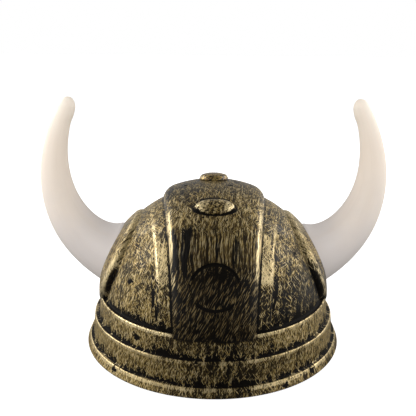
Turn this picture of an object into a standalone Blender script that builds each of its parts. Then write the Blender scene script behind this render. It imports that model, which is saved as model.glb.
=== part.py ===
"""Horned helmet, a costume helmet in moulded plastic.

One hollow shell carries a wide centre band, side strips, a stepped rim and two round pads.
A hollow horn plugs through each pad and a round button is clinched through the crown.

Axes: +X is the wearer's left-to-right width, -Y is the front, +Z is up.
The origin is the centre of the rim, on the surface that the helmet stands on.
"""
import math
from collections import namedtuple

import bmesh
import bpy
from mathutils import Matrix, Vector

MM = 0.001

# Walls and gaps
WALL = 2.0 * MM
CLEARANCE = 0.3 * MM
CUT_THROUGH = 6.0 * MM

# Plan shape: every ring is an ellipse, longer front to back than it is wide
LENGTH_TO_WIDTH = 1.134

# Dome, an ellipsoid that springs from the seat just inside the top rim band
SEAT_HEIGHT = 41.8 * MM
DOME_HALF_WIDTH = 90.9 * MM
DOME_TOP = 125.5 * MM

# Rim: each band is a face that flares from a rounded ledge down to its foot
RIM_BANDS = (
    # ledge height, ledge half-width, foot height, foot half-width
    (41.8 * MM, 94.3 * MM, 25.0 * MM, 95.6 * MM),
    (25.0 * MM, 98.2 * MM, 7.0 * MM, 99.6 * MM),
    (7.0 * MM, 102.2 * MM, 0.0 * MM, 105.0 * MM),
)
LEDGE_ROUND = 1.3 * MM

# Centre band: it continues the top rim band's face over the crown
BAND_TOP = 130.2 * MM
BAND_FOOT_HALF_WIDTH = 30.0 * MM
BAND_CROWN_HALF_WIDTH = 41.0 * MM
BAND_EDGE_ROUND = 4.0 * MM
BAND_SKIRT = 7.0 * MM

# Side strips: a low step on each side of the centre band, which sinks away over the crown
STRIP_WIDTH = 12.0 * MM
STRIP_RAISE = 1.5 * MM
STRIP_EDGE_ROUND = 1.5 * MM
STRIP_SKIRT = 4.0 * MM
STRIP_SINK = 0.7 * MM
STRIP_FADE_START = math.radians(38.0)
STRIP_FADE_END = math.radians(74.0)

# Side pads: flattened round bosses that stand out more at the foot than at the top
PAD_TILT = math.radians(24.0)
PAD_AXIS_HEIGHT = 34.3 * MM
PAD_HALF_LENGTH = 47.0 * MM
PAD_HALF_HEIGHT = 42.0 * MM
PAD_FACE_HALF_WIDTH = 95.3 * MM
PAD_FACE_HALF_LENGTH = 116.0 * MM
PAD_FACE_RISE = 84.4 * MM
PAD_EDGE_ROUND = 4.0 * MM

# Oval boss on the front of the centre band and the plain disc sunk below it
BOSS_ARCH_ANGLE = math.radians(62.8)
BOSS_HALF_SIZES = (14.9 * MM, 8.2 * MM, 4.8 * MM)
DISC_ARCH_ANGLE = math.radians(22.2)
DISC_RADIUS = 16.3 * MM
DISC_DEPTH = 0.7 * MM

# Crown button: pan head, shank and clinched foot
BUTTON_ARCH_ANGLE = math.radians(95.5)
BUTTON_RADIUS = 11.9 * MM
BUTTON_HEIGHT = 6.2 * MM
BUTTON_SEAT_DEPTH = 0.9 * MM
SHANK_RADIUS = 3.2 * MM
FOOT_RADIUS = 6.0 * MM
FOOT_THICKNESS = 1.2 * MM

# Horns: the centreline rises from the pad, turns upright and leans back in
HORN_LENGTH = 146.7 * MM
HORN_ROOT = (83.9 * MM, 71.0 * MM)
HORN_START_ANGLE = math.radians(19.0)
HORN_TURN_PER_METRE = math.radians(1017.0)
HORN_TURN_FADE = math.radians(2300.0)
HORN_ROOT_RADIUS = 22.6 * MM
HORN_TAPER = 0.1255
HORN_FLARE = 3.3 * MM
HORN_FLARE_LENGTH = 12.0 * MM
HORN_TIP_ROUND = 4.2 * MM
HORN_WALL = 1.9 * MM
HORN_BORE_END = 124.0 * MM
HORN_NECK_START = -7.4 * MM
FLANGE_RADIUS = 27.8 * MM
FLANGE_THICKNESS = 1.6 * MM

# Facets
RING_STEPS = 62
DOME_ROWS = 11
HOLLOW_ROWS = 7
BAND_ROWS = 26
PAD_SPOKES = 32
HORN_SECTIONS = 15
BORE_SECTIONS = 10
HORN_BEVEL_RESOLUTION = 7
BUTTON_STEPS = 24

CORE = Vector((0.0, 0.0, SEAT_HEIGHT))


# ---------------------------------------------------------------- scene helpers

def clear_scene():
    for item in list(bpy.data.objects):
        bpy.data.objects.remove(item, do_unlink=True)


def new_collection(name):
    collection = bpy.data.collections.new(name)
    bpy.context.scene.collection.children.link(collection)
    return collection


def new_material(name, colour, roughness, metallic):
    material = bpy.data.materials.new(name)
    material.use_nodes = True
    shader = material.node_tree.nodes["Principled BSDF"]
    shader.inputs["Base Color"].default_value = (*colour, 1.0)
    shader.inputs["Roughness"].default_value = roughness
    shader.inputs["Metallic"].default_value = metallic
    return material


def object_from_bmesh(name, shape):
    """Close a bmesh into an object whose faces all point outwards."""
    bmesh.ops.remove_doubles(shape, verts=shape.verts, dist=0.01 * MM)
    bmesh.ops.recalc_face_normals(shape, faces=shape.faces)
    mesh = bpy.data.meshes.new(name)
    shape.to_mesh(mesh)
    shape.free()
    item = bpy.data.objects.new(name, mesh)
    bpy.context.scene.collection.objects.link(item)
    return item


def bake_modifiers(item):
    """Replace an object's mesh by its evaluated one, with its modifiers spent."""
    bpy.context.view_layer.update()
    evaluated = item.evaluated_get(bpy.context.evaluated_depsgraph_get())
    mesh = bpy.data.meshes.new_from_object(evaluated)
    item.modifiers.clear()
    item.data = mesh
    return item


def combine(target, tool, operation):
    """Join, cut or keep the overlap with a tool object, and remove the tool."""
    boolean = target.modifiers.new(operation.lower(), "BOOLEAN")
    boolean.operation = operation
    boolean.solver = "EXACT"
    boolean.object = tool
    bake_modifiers(target)
    bpy.data.objects.remove(tool, do_unlink=True)
    return target


# ---------------------------------------------------------------- shapes

def turned(name, profile, steps):
    """Turn a profile of (radius, height), listed from top to bottom, round the Z axis."""
    mesh = bpy.data.meshes.new(name)
    points = [(radius, 0.0, height) for radius, height in profile]
    edges = [(index, index + 1) for index in range(len(points) - 1)]
    mesh.from_pydata(points, edges, [])
    item = bpy.data.objects.new(name, mesh)
    bpy.context.scene.collection.objects.link(item)
    screw = item.modifiers.new("turn", "SCREW")
    screw.axis = "Z"
    screw.steps = steps
    screw.render_steps = steps
    screw.use_merge_vertices = True
    screw.merge_threshold = 0.01 * MM
    bake_modifiers(item)
    shape = bmesh.new()
    shape.from_mesh(item.data)
    bmesh.ops.recalc_face_normals(shape, faces=shape.faces)
    shape.to_mesh(item.data)
    shape.free()
    return item


def thicken_towards(shape, depth_ratio):
    """Give an open sheet a thickness by extruding it towards (or away from) the core."""
    sheet = list(shape.faces)
    extruded = bmesh.ops.extrude_face_region(shape, geom=sheet)["geom"]
    for vertex in extruded:
        if isinstance(vertex, bmesh.types.BMVert):
            vertex.co = CORE + (vertex.co - CORE) * depth_ratio


def ellipsoid_point(base, direction, half_sizes):
    """Where a ray from base leaves the ellipsoid of these half sizes about the core."""
    scaled_base = Vector([(b - c) / s for b, c, s in zip(base, CORE, half_sizes)])
    scaled_ray = Vector([d / s for d, s in zip(direction, half_sizes)])
    a = scaled_ray.length_squared
    b = scaled_base.dot(scaled_ray)
    c = scaled_base.length_squared - 1.0
    return base + direction * ((-b + math.sqrt(b * b - a * c)) / a)


def dome_sizes(half_width, top, change):
    """Half sizes of a dome form about the core, grown or shrunk by one change all over."""
    return (half_width + change, half_width * LENGTH_TO_WIDTH + change, top - SEAT_HEIGHT + change)


def band_sizes(change=0.0):
    """Half sizes of the centre band's face, a hair proud of the top rim band it runs into."""
    return dome_sizes(RIM_BANDS[0][1] + 0.1 * MM, BAND_TOP, change)


def arch_frame(angle, half_sizes):
    """A frame on the arch over the crown: X across, Z along the surface normal."""
    point = CORE + Vector((0.0, -half_sizes[1] * math.cos(angle), half_sizes[2] * math.sin(angle)))
    normal = Vector((0.0, -math.cos(angle) / half_sizes[1], math.sin(angle) / half_sizes[2]))
    turn = Vector((0.0, 0.0, 1.0)).rotation_difference(normal.normalized())
    return Matrix.Translation(point) @ turn.to_matrix().to_4x4()


def rounding_drop(distance_to_edge, radius):
    """How far a rounded edge lies below its plateau, this far in from the edge."""
    if distance_to_edge >= radius:
        return 0.0
    reach = radius - max(distance_to_edge, 0.0)
    return radius - math.sqrt(radius * radius - reach * reach)


# ---------------------------------------------------------------- forms of the shell
# Each form is built twice: inset 0 for the outside and inset WALL for the hollow.

def body_profile(inset):
    """Half section of the dome and the stepped rim."""
    rise = DOME_TOP - SEAT_HEIGHT - inset
    reach = DOME_HALF_WIDTH - inset
    rows = HOLLOW_ROWS if inset else DOME_ROWS
    bend_angles = (90.0, 0.0) if inset else (90.0, 45.0, 0.0)
    profile = []
    for row in range(rows):
        angle = math.pi / 2 * (1.0 - row / rows)
        profile.append((max(0.0, reach * math.cos(angle)), SEAT_HEIGHT + rise * math.sin(angle)))
    profile[0] = (0.0, SEAT_HEIGHT + rise)
    inner_corner = reach
    bend = max(LEDGE_ROUND - inset, 0.5 * MM)
    for ledge_height, ledge_half_width, foot_height, foot_half_width in RIM_BANDS:
        top = ledge_height - inset
        edge = ledge_half_width - inset
        profile.append((inner_corner, top))
        for angle in bend_angles:
            across = math.cos(math.radians(angle)) - 1.0
            upward = math.sin(math.radians(angle)) - 1.0
            profile.append((edge + bend * across, top + bend * upward))
        inner_corner = foot_half_width - inset
    bottom = -CUT_THROUGH if inset else 0.0
    profile.append((inner_corner, 0.0))
    if inset:
        profile.append((inner_corner, bottom))
    profile.append((0.0, bottom))
    return profile


def body_form(inset):
    form = turned("body_form", body_profile(inset), RING_STEPS)
    form.data.transform(Matrix.Diagonal((1.0, LENGTH_TO_WIDTH, 1.0, 1.0)))
    return form


def band_half_width(angle):
    """Half-width of the centre band along its arch, widest over the crown."""
    along = min(1.0, abs(math.cos(angle)))
    return BAND_FOOT_HALF_WIDTH + (BAND_CROWN_HALF_WIDTH - BAND_FOOT_HALF_WIDTH) * (1.0 - along ** 1.4)


def crown_fade(angle):
    """0 on the lower front and back, rising smoothly to 1 over the crown."""
    share = (math.sin(angle) - math.sin(STRIP_FADE_START)) / (math.sin(STRIP_FADE_END) - math.sin(STRIP_FADE_START))
    share = min(1.0, max(0.0, share))
    return share * share * (3.0 - 2.0 * share)


# name, half sizes of the face, width beyond the centre band, edge radius, depth of the
# hidden skirt, and how far the face sinks over the crown
PlateSpec = namedtuple("PlateSpec", "name half_sizes extra_width edge_round skirt crown_sink")


def arched_plate(plate, inset):
    """A plate over the crown from front to back, with rounded long edges."""
    bend = max(plate.edge_round - inset, 0.6 * MM)
    flat_shares = (0.0, 0.5)
    roll_angles = (0.0, 30.0, 60.0, 90.0)
    columns = len(flat_shares) + len(roll_angles) + 1
    end_dip = math.radians(9.0)
    shape = bmesh.new()
    bmesh.ops.create_grid(shape, x_segments=2 * (columns - 1), y_segments=BAND_ROWS, size=1.0)
    for vertex in shape.verts:
        column = round(abs(vertex.co.x) * (columns - 1))
        side = math.copysign(1.0, vertex.co.x)
        angle = -end_dip + (math.pi + 2.0 * end_dip) * (vertex.co.y + 1.0) / 2.0
        half_width = band_half_width(angle) + plate.extra_width - inset
        if column < len(flat_shares):
            across = flat_shares[column] * (half_width - bend)
            drop = 0.0
        elif column < columns - 1:
            roll_angle = math.radians(roll_angles[column - len(flat_shares)])
            across = half_width - bend + bend * math.sin(roll_angle)
            drop = bend * (1.0 - math.cos(roll_angle))
        else:
            across = half_width
            drop = plate.skirt
        drop += plate.crown_sink * crown_fade(angle)
        a, b, c = (size - drop for size in plate.half_sizes)
        shrink = math.sqrt(1.0 - (across / a) ** 2)
        vertex.co = CORE + Vector((
            side * across,
            -b * shrink * math.cos(angle),
            c * shrink * math.sin(angle),
        ))
    thicken_towards(shape, 0.85)
    return object_from_bmesh(plate.name, shape)


def centre_band_form(inset):
    plate = PlateSpec("centre_band_form", band_sizes(-inset), 0.0, BAND_EDGE_ROUND, BAND_SKIRT, 0.0)
    return arched_plate(plate, inset)


def strip_form(inset):
    sizes = dome_sizes(DOME_HALF_WIDTH, DOME_TOP, STRIP_RAISE - inset)
    plate = PlateSpec("strip_form", sizes, STRIP_WIDTH, STRIP_EDGE_ROUND, STRIP_SKIRT, STRIP_RAISE + STRIP_SINK)
    return arched_plate(plate, inset)


def pad_axis(side):
    return Vector((side * math.cos(PAD_TILT), 0.0, math.sin(PAD_TILT)))


def pad_form(side, inset):
    """A round pad: a polar sheet laid on its own flatter face and thickened inwards."""
    axis = pad_axis(side)
    upward = Vector((-side * math.sin(PAD_TILT), 0.0, math.cos(PAD_TILT)))
    forward = Vector((0.0, 1.0, 0.0))
    centre = Vector((0.0, 0.0, PAD_AXIS_HEIGHT))
    bend = max(PAD_EDGE_ROUND - inset, 0.8 * MM)
    face = (PAD_FACE_HALF_WIDTH - inset, PAD_FACE_HALF_LENGTH - inset, PAD_FACE_RISE - inset)
    rings = [(0.0, 0.0), (0.5, 0.0)]
    rings += [(None, math.radians(angle)) for angle in (0.0, 35.0, 65.0, 90.0)]
    shape = bmesh.new()
    spokes = [shape.verts.new((index / len(rings), 0.0, 0.0)) for index in range(len(rings) + 1)]
    lines = [shape.edges.new(pair) for pair in zip(spokes, spokes[1:])]
    bmesh.ops.spin(shape, geom=spokes + lines, axis=(0, 0, 1), cent=(0, 0, 0),
                   angle=2.0 * math.pi, steps=PAD_SPOKES, use_merge=True)
    bmesh.ops.remove_doubles(shape, verts=shape.verts, dist=0.01 * MM)
    for vertex in shape.verts:
        ring = round(vertex.co.length * len(rings))
        turn = math.atan2(vertex.co.y, vertex.co.x)
        length = PAD_HALF_LENGTH - inset
        height = PAD_HALF_HEIGHT - inset
        if ring == len(rings):
            scale, pulled_in, drop = 1.0, 0.0, 12.0 * MM
        elif rings[ring][0] is None:
            roll_angle = rings[ring][1]
            scale = 1.0
            pulled_in = bend * (1.0 - math.sin(roll_angle))
            drop = bend * (1.0 - math.cos(roll_angle))
        else:
            scale, pulled_in, drop = rings[ring][0], bend, 0.0
        base = (centre
                + forward * (scale * (length - pulled_in) * math.cos(turn))
                + upward * (scale * (height - pulled_in) * math.sin(turn)))
        vertex.co = ellipsoid_point(base, axis, face) - axis * drop
    thicken_towards(shape, 0.8)
    return object_from_bmesh("pad_form", shape)


def shell_form(inset):
    """Everything that the shell's wall follows, as one closed solid."""
    form = body_form(inset)
    combine(form, strip_form(inset), "UNION")
    combine(form, centre_band_form(inset), "UNION")
    for side in (-1.0, 1.0):
        combine(form, pad_form(side, inset), "UNION")
    return form


# ---------------------------------------------------------------- horns

def horn_radius(along):
    """Outer radius of a horn at a distance along its centreline."""
    along_outside = max(along, 0.0)
    flare = HORN_FLARE * math.exp(-along_outside / HORN_FLARE_LENGTH)
    radius = HORN_ROOT_RADIUS - HORN_TAPER * along_outside + flare
    past = along - (HORN_LENGTH - HORN_TIP_ROUND)
    if past > 0.0:
        radius = min(radius, math.sqrt(max(HORN_TIP_ROUND ** 2 - past ** 2, (0.4 * MM) ** 2)))
    return radius


def horn_direction(along):
    along_outside = max(along, 0.0)
    angle = HORN_START_ANGLE + HORN_TURN_PER_METRE * along_outside - HORN_TURN_FADE * along_outside ** 2
    return math.cos(angle), math.sin(angle)


def horn_point(along, side):
    """Centreline point: the direction summed in short steps from the root."""
    x, z = HORN_ROOT
    if along <= 0.0:
        across, upward = horn_direction(0.0)
        return Vector((side * (x + across * along), 0.0, z + upward * along))
    steps = 120
    step = along / steps
    for index in range(steps):
        across, upward = horn_direction((index + 0.5) * step)
        x += across * step
        z += upward * step
    return Vector((side * x, 0.0, z))


def horn_tube(name, side, stations, change):
    """A tapered round solid along the centreline, with its radius grown by change."""
    curve = bpy.data.curves.new(name, "CURVE")
    curve.dimensions = "3D"
    curve.bevel_depth = HORN_ROOT_RADIUS
    curve.bevel_resolution = HORN_BEVEL_RESOLUTION
    curve.use_fill_caps = True
    spline = curve.splines.new("POLY")
    spline.points.add(len(stations) - 1)
    for point, along in zip(spline.points, stations):
        point.co = (*horn_point(along, side), 1.0)
        point.radius = (horn_radius(along) + change) / HORN_ROOT_RADIUS
    item = bpy.data.objects.new(name, curve)
    bpy.context.scene.collection.objects.link(item)
    bpy.context.view_layer.update()
    mesh = bpy.data.meshes.new_from_object(item.evaluated_get(bpy.context.evaluated_depsgraph_get()))
    bpy.data.objects.remove(item, do_unlink=True)
    shape = bmesh.new()
    shape.from_mesh(mesh)
    return object_from_bmesh(name, shape)


def evenly(start, end, count):
    return [start + (end - start) * index / (count - 1) for index in range(count)]


def horn(name, side):
    """A hollow horn: neck, flange behind the pad's wall, and a rounded tip."""
    tip_start = HORN_LENGTH - HORN_TIP_ROUND
    stations = [HORN_NECK_START] + evenly(0.0, tip_start, HORN_SECTIONS)
    stations += [tip_start + HORN_TIP_ROUND * fraction for fraction in (0.5, 0.85, 0.995)]
    item = horn_tube(name, side, stations, 0.0)
    flange = bmesh.new()
    bmesh.ops.create_cone(flange, cap_ends=True, segments=40, depth=FLANGE_THICKNESS,
                          radius1=FLANGE_RADIUS, radius2=FLANGE_RADIUS)
    flange_centre = horn_point(HORN_NECK_START + FLANGE_THICKNESS / 2.0, side)
    across, upward = horn_direction(0.0)
    turn = Vector((0.0, 0.0, 1.0)).rotation_difference(Vector((side * across, 0.0, upward)))
    bmesh.ops.transform(flange, matrix=Matrix.Translation(flange_centre) @ turn.to_matrix().to_4x4(),
                        verts=flange.verts)
    combine(item, object_from_bmesh("flange", flange), "UNION")
    bore_stations = [HORN_NECK_START - CUT_THROUGH] + evenly(0.0, HORN_BORE_END, BORE_SECTIONS)
    combine(item, horn_tube("bore", side, bore_stations, -HORN_WALL), "DIFFERENCE")
    return item


# ---------------------------------------------------------------- crown button

def button_profile():
    """Half section of the button: pan head, shank, clinched foot."""
    bearing = CLEARANCE - BUTTON_SEAT_DEPTH
    under = -(BUTTON_SEAT_DEPTH + WALL + 2.0 * CLEARANCE)
    return [
        (0.0, BUTTON_HEIGHT),
        (0.45 * BUTTON_RADIUS, BUTTON_HEIGHT - 0.25 * MM),
        (0.72 * BUTTON_RADIUS, BUTTON_HEIGHT - 0.95 * MM),
        (0.9 * BUTTON_RADIUS, BUTTON_HEIGHT - 2.3 * MM),
        (0.985 * BUTTON_RADIUS, BUTTON_HEIGHT - 3.9 * MM),
        (BUTTON_RADIUS, BUTTON_HEIGHT - 5.2 * MM),
        (BUTTON_RADIUS, bearing),
        (SHANK_RADIUS, bearing),
        (SHANK_RADIUS, under),
        (FOOT_RADIUS, under),
        (FOOT_RADIUS, under - FOOT_THICKNESS),
        (0.0, under - FOOT_THICKNESS),
    ]


def crown_button():
    item = turned("crown_button", button_profile(), BUTTON_STEPS)
    item.matrix_world = arch_frame(BUTTON_ARCH_ANGLE, band_sizes())
    return item


def button_cutter():
    """Cutter for the button's flat seat and for the hole its shank goes through."""
    seat_radius = BUTTON_RADIUS + CLEARANCE
    hole_radius = SHANK_RADIUS + CLEARANCE
    profile = [
        (0.0, CUT_THROUGH),
        (seat_radius, CUT_THROUGH),
        (seat_radius, -BUTTON_SEAT_DEPTH),
        (hole_radius, -BUTTON_SEAT_DEPTH),
        (hole_radius, -2.0 * CUT_THROUGH),
        (0.0, -2.0 * CUT_THROUGH),
    ]
    item = turned("button_cutter", profile, BUTTON_STEPS)
    item.data.transform(arch_frame(BUTTON_ARCH_ANGLE, band_sizes()))
    return item


# ---------------------------------------------------------------- the shell

def front_boss():
    """The oval boss, a flattened ball half sunk in the centre band."""
    shape = bmesh.new()
    bmesh.ops.create_uvsphere(shape, u_segments=28, v_segments=12, radius=1.0)
    frame = arch_frame(BOSS_ARCH_ANGLE, band_sizes())
    bmesh.ops.transform(shape, matrix=frame @ Matrix.Diagonal((*BOSS_HALF_SIZES, 1.0)), verts=shape.verts)
    return object_from_bmesh("front_boss", shape)


def sunken_disc():
    """Cutter for the plain disc: its floor follows the band at an even depth."""
    floor = band_sizes(-DISC_DEPTH)
    frame = arch_frame(DISC_ARCH_ANGLE, band_sizes())
    axis = (frame.to_3x3() @ Vector((0.0, 0.0, 1.0))).normalized()
    shape = bmesh.new()
    spokes = [shape.verts.new((DISC_RADIUS * share, 0.0, 0.0)) for share in (0.0, 0.4, 0.75, 1.0)]
    lines = [shape.edges.new(pair) for pair in zip(spokes, spokes[1:])]
    bmesh.ops.spin(shape, geom=spokes + lines, axis=(0, 0, 1), cent=(0, 0, 0),
                   angle=2.0 * math.pi, steps=36, use_merge=True)
    bmesh.ops.remove_doubles(shape, verts=shape.verts, dist=0.01 * MM)
    for vertex in shape.verts:
        start = frame @ (vertex.co - Vector((0.0, 0.0, 20.0 * MM)))
        vertex.co = ellipsoid_point(start, axis, floor)
    thicken_towards(shape, 1.06)
    return object_from_bmesh("sunken_disc", shape)


def helmet_shell():
    item = shell_form(0.0)
    item.name = "helmet_shell"
    combine(item, front_boss(), "UNION")
    combine(item, sunken_disc(), "DIFFERENCE")
    combine(item, shell_form(WALL), "DIFFERENCE")
    for side in (-1.0, 1.0):
        hole = horn_tube("horn_hole", side, [-16.0 * MM, 0.0, 4.0 * MM, 8.0 * MM, 12.0 * MM, 20.0 * MM], CLEARANCE)
        combine(item, hole, "DIFFERENCE")
    combine(item, button_cutter(), "DIFFERENCE")
    return item


def main():
    clear_scene()
    helmet = new_collection("horned_helmet")
    aged_gold = new_material("aged_gold_plastic", (0.16, 0.12, 0.06), 0.38, 0.6)
    white = new_material("white_plastic", (0.82, 0.78, 0.74), 0.42, 0.0)
    brass = new_material("brass_button", (0.38, 0.23, 0.08), 0.3, 0.85)
    pieces = (
        (helmet_shell(), aged_gold),
        (horn("horn_left", -1.0), white),
        (horn("horn_right", 1.0), white),
        (crown_button(), brass),
    )
    for item, material in pieces:
        for owner in list(item.users_collection):
            owner.objects.unlink(item)
        helmet.objects.link(item)
        item.data.materials.clear()
        item.data.materials.append(material)
        item.data.shade_smooth()
        item.data.set_sharp_from_angle(angle=math.radians(32.0))


main()
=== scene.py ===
"""Horned viking helmet: the dressed model of a costume helmet in moulded plastic.

Four pieces stand in for the four solids of the frame: the shell, two horns and a crown button.
Axes: +X runs across the horns, -Y is the front, +Z is up, and lengths are in metres.
"""
from collections import namedtuple
from math import atan2, copysign, cos, exp, pi, radians, sin, sqrt, tan

import bmesh
import bpy
from mathutils import Matrix, Vector, noise


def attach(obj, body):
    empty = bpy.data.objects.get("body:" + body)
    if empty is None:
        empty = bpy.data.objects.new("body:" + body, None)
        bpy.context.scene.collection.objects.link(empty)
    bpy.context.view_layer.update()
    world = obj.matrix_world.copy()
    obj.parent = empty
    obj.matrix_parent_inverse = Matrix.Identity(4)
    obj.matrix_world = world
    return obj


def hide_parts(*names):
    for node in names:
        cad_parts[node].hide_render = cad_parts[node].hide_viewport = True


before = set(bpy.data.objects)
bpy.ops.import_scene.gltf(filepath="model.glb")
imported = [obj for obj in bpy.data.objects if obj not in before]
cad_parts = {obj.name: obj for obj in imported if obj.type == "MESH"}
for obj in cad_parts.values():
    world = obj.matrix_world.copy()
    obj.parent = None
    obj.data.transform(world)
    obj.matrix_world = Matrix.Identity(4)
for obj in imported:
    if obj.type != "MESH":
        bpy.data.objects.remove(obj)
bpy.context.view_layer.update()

bl_info = {
    "name": "Horned viking helmet",
    "version": (1, 0, 0),
    "blender": (4, 5, 0),
    "location": "3D View > Sidebar > Helmet",
    "description": "Builds a moulded costume helmet with a raised centre band, side pads and two horns",
    "category": "Add Mesh",
}

MM = 0.001
CORE_HEIGHT = 41.8 * MM
CORE = Vector((0.0, 0.0, CORE_HEIGHT))
UP = Vector((0.0, 0.0, 1.0))
BACK = Vector((0.0, 1.0, 0.0))
SIDES = (-1.0, 1.0)
LENGTH_TO_WIDTH = 1.134
CLEARANCE = 0.3 * MM
CUT_THROUGH = 6.0 * MM
ARCH_MM = 97.0  # millimetres along the crown's arch for each radian of its angle
AROUND_MM = 98.0  # millimetres round the sides for each radian
PAD_MM = 44.0  # millimetres for a share of a pad's half-size
WELD = 0.01 * MM
FINE_WELD = 0.005 * MM
SHELL_WELD = 0.02 * MM

# Rim bands: ledge height, ledge half-width, foot height, foot half-width
RIM_BANDS = (
    (41.8 * MM, 94.3 * MM, 25.0 * MM, 96.2 * MM),
    (25.0 * MM, 99.8 * MM, 7.0 * MM, 101.5 * MM),
    (7.0 * MM, 104.0 * MM, 0.0 * MM, 106.8 * MM),
)
RIM_FLARE = 0.017  # the share by which the rim stands out less at the front and back
RIM_FLARE_FROM = 95.5 * MM  # from here outwards, growing over the next distance
RIM_FLARE_OVER = 3.5 * MM
LEDGE_ROUND = 1.3 * MM
LEDGE_FILLETS = (1.9 * MM, 1.1 * MM, 1.1 * MM)
LIP_ROUND = 0.7 * MM

BAND_HALF_WIDTHS = (30.0 * MM, 41.0 * MM)
BAND_WIDENING = 1.4
BAND_EDGE_ROUND = 4.0 * MM
BAND_SHOULDER = 6.5 * MM
BAND_SKIRT = 7.0 * MM
BAND_BEYOND_LEDGE = 0.1 * MM
STRIP_WIDTH = 10.7 * MM
STRIP_RAISE = 1.5 * MM
STRIP_SHOULDER = 2.2 * MM
STRIP_SKIRT = 4.0 * MM
STRIP_SINK = 0.7 * MM
STRIP_FADE = (radians(38.0), radians(74.0))

PAD_TILT = radians(24.0)
PAD_AXIS_HEIGHT = 34.3 * MM
PAD_HALF_SIZES = (47.0 * MM, 42.0 * MM)
PAD_FACE = (95.3 * MM, 116.0 * MM, 84.4 * MM)
PAD_EDGE_ROUND = 4.0 * MM
PAD_SKIRT = 12.0 * MM
PLATE_LEAST_ROUND = 0.6 * MM
PAD_LEAST_ROUND = 0.8 * MM

BOSS_ARCH_ANGLE = radians(62.1)
BOSS_HALF_SIZES = (14.9 * MM, 8.2 * MM, 4.8 * MM)
DISC_ARCH_ANGLE = radians(22.2)
DISC_RADIUS = 17.8 * MM
DISC_DEPTH = 0.5 * MM

BUTTON_ARCH_ANGLE = radians(95.5)
BUTTON_RADIUS = 11.9 * MM
BUTTON_SEAT_DEPTH = 0.9 * MM
SHANK_RADIUS = 3.2 * MM
FOOT_RADIUS = 6.0 * MM
FOOT_THICKNESS = 1.2 * MM

HORN_ROOT = (83.9 * MM, 71.0 * MM)
HORN_START_ANGLE = radians(19.0)
HORN_TURN_PER_METRE = radians(1017.0)
HORN_TURN_FADE = radians(2300.0)
HORN_TAPER = 0.1255
HORN_FULL_FROM = 55.0 * MM
HORN_FULLNESS = 0.22
HORN_FLARE = 3.3 * MM
HORN_FLARE_LENGTH = 12.0 * MM
HORN_TIP_ROUND = 6.5 * MM
HORN_TRIM = 0.47 * MM  # lost by the outside, not by the hole, over the next length
HORN_TRIM_LENGTH = 30.0 * MM
HORN_WALL = 1.9 * MM
HORN_BORE_END = 124.0 * MM
HORN_NECK_START = -7.4 * MM
NUB_HEIGHT = 0.9 * MM
NUB_BELOW_TIP = 11.0 * MM
NUB_LENGTH = 5.5 * MM
WAVE_LENGTH = 24.0 * MM
FLANGE_RADIUS = 27.8 * MM
FLANGE_THICKNESS = 1.6 * MM
FLANGE_BEVEL = 0.3 * MM

# Limits between which a signal rises from 0 to 1, in mm but for the strokes' own height
AT_STEP = (-0.3, 0.3)
TO_SIDES = (54.0, 70.0)
TO_RIGHT = (0.0, 20.0)
DOME_HIGH = (24.0, 44.0)
BROAD_STROKES = (0.42, 0.58)

# Chips in the rim's paint: place round the rim, height and radius, in mm
RIM_CHIPS = ((-62.0, 33.0, 2.4), (-79.0, 4.0, 2.2), (77.0, 4.2, 2.0), (51.0, 3.0, 1.7))


# ---- settings

def amount(label, description, default, **more):
    """A number from 0 up that can be changed in the sidebar."""
    return bpy.props.FloatProperty(name=label, description=description, default=default, min=0.0, **more)


def length(label, description, default):
    return amount(label, description, default, unit="LENGTH", subtype="DISTANCE", precision=4)


def colour(label, description, default):
    return bpy.props.FloatVectorProperty(name=label, description=description, default=default,
                                         min=0.0, max=1.0, subtype="COLOR")


class HelmetSizes(bpy.types.PropertyGroup):
    wall: length("Wall", "Thickness of the moulded shell", 2.0 * MM)
    dome_half_width: length("Dome half-width", "Half the width of the dome at its foot", 90.9 * MM)
    dome_top: length("Dome top", "Height of the dome's top, under the band", 125.5 * MM)
    band_top: length("Band top", "Height of the centre band's face at the crown", 131.8 * MM)
    horn_length: length("Horn length", "Length of a horn's centreline outside its pad", 146.4 * MM)
    horn_root_radius: length("Horn root radius", "Radius of a horn where it leaves its pad", 22.6 * MM)
    button_height: length("Button height", "Height of the crown button above the band", 4.8 * MM)
    wave: length("Wave", "How far the moulded surface sinks below its true form", 0.30 * MM)


class HelmetColours(bpy.types.PropertyGroup):
    base: colour("Base plastic", "Bare plastic under the paint", (0.0055, 0.0040, 0.0024))
    wash: colour("Brown wash", "Thin brown film between the strokes", (0.044, 0.028, 0.008))
    gold: colour("Gold", "Full strokes of the antique gold paint", (0.515, 0.370, 0.128))
    olive: colour("Thin gold", "Gold paint dragged out thin", (0.100, 0.064, 0.024))
    dull: colour("Dull gold", "Gold low on the band and in the disc", (0.105, 0.066, 0.031))
    # Also the colour of the painted highlights and the painted reflection on the edges and strips.
    worn_and_highlight: colour("Worn edge", "Paint rubbed bright along the raised edges", (0.860, 0.700, 0.400))
    brass: colour("Button brass", "Orange gold of the crown button", (0.360, 0.215, 0.075))
    horn_tip: colour("Horn tip", "Warm white of a horn's outer half", (0.900, 0.785, 0.675))
    horn_end: colour("Horn end", "Pale ivory at a horn's very end", (0.970, 0.895, 0.785))
    # Painted shade: a horn's inner side is made darker beige.
    horn_shaded_side: colour("Horn shade", "Beige of a horn's inner side", (0.640, 0.540, 0.440))
    # The root's cooler, greyer white is partly painted shade from the shell.
    horn_root: colour("Horn root", "Cool white at a horn's root", (0.680, 0.628, 0.602))


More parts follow.
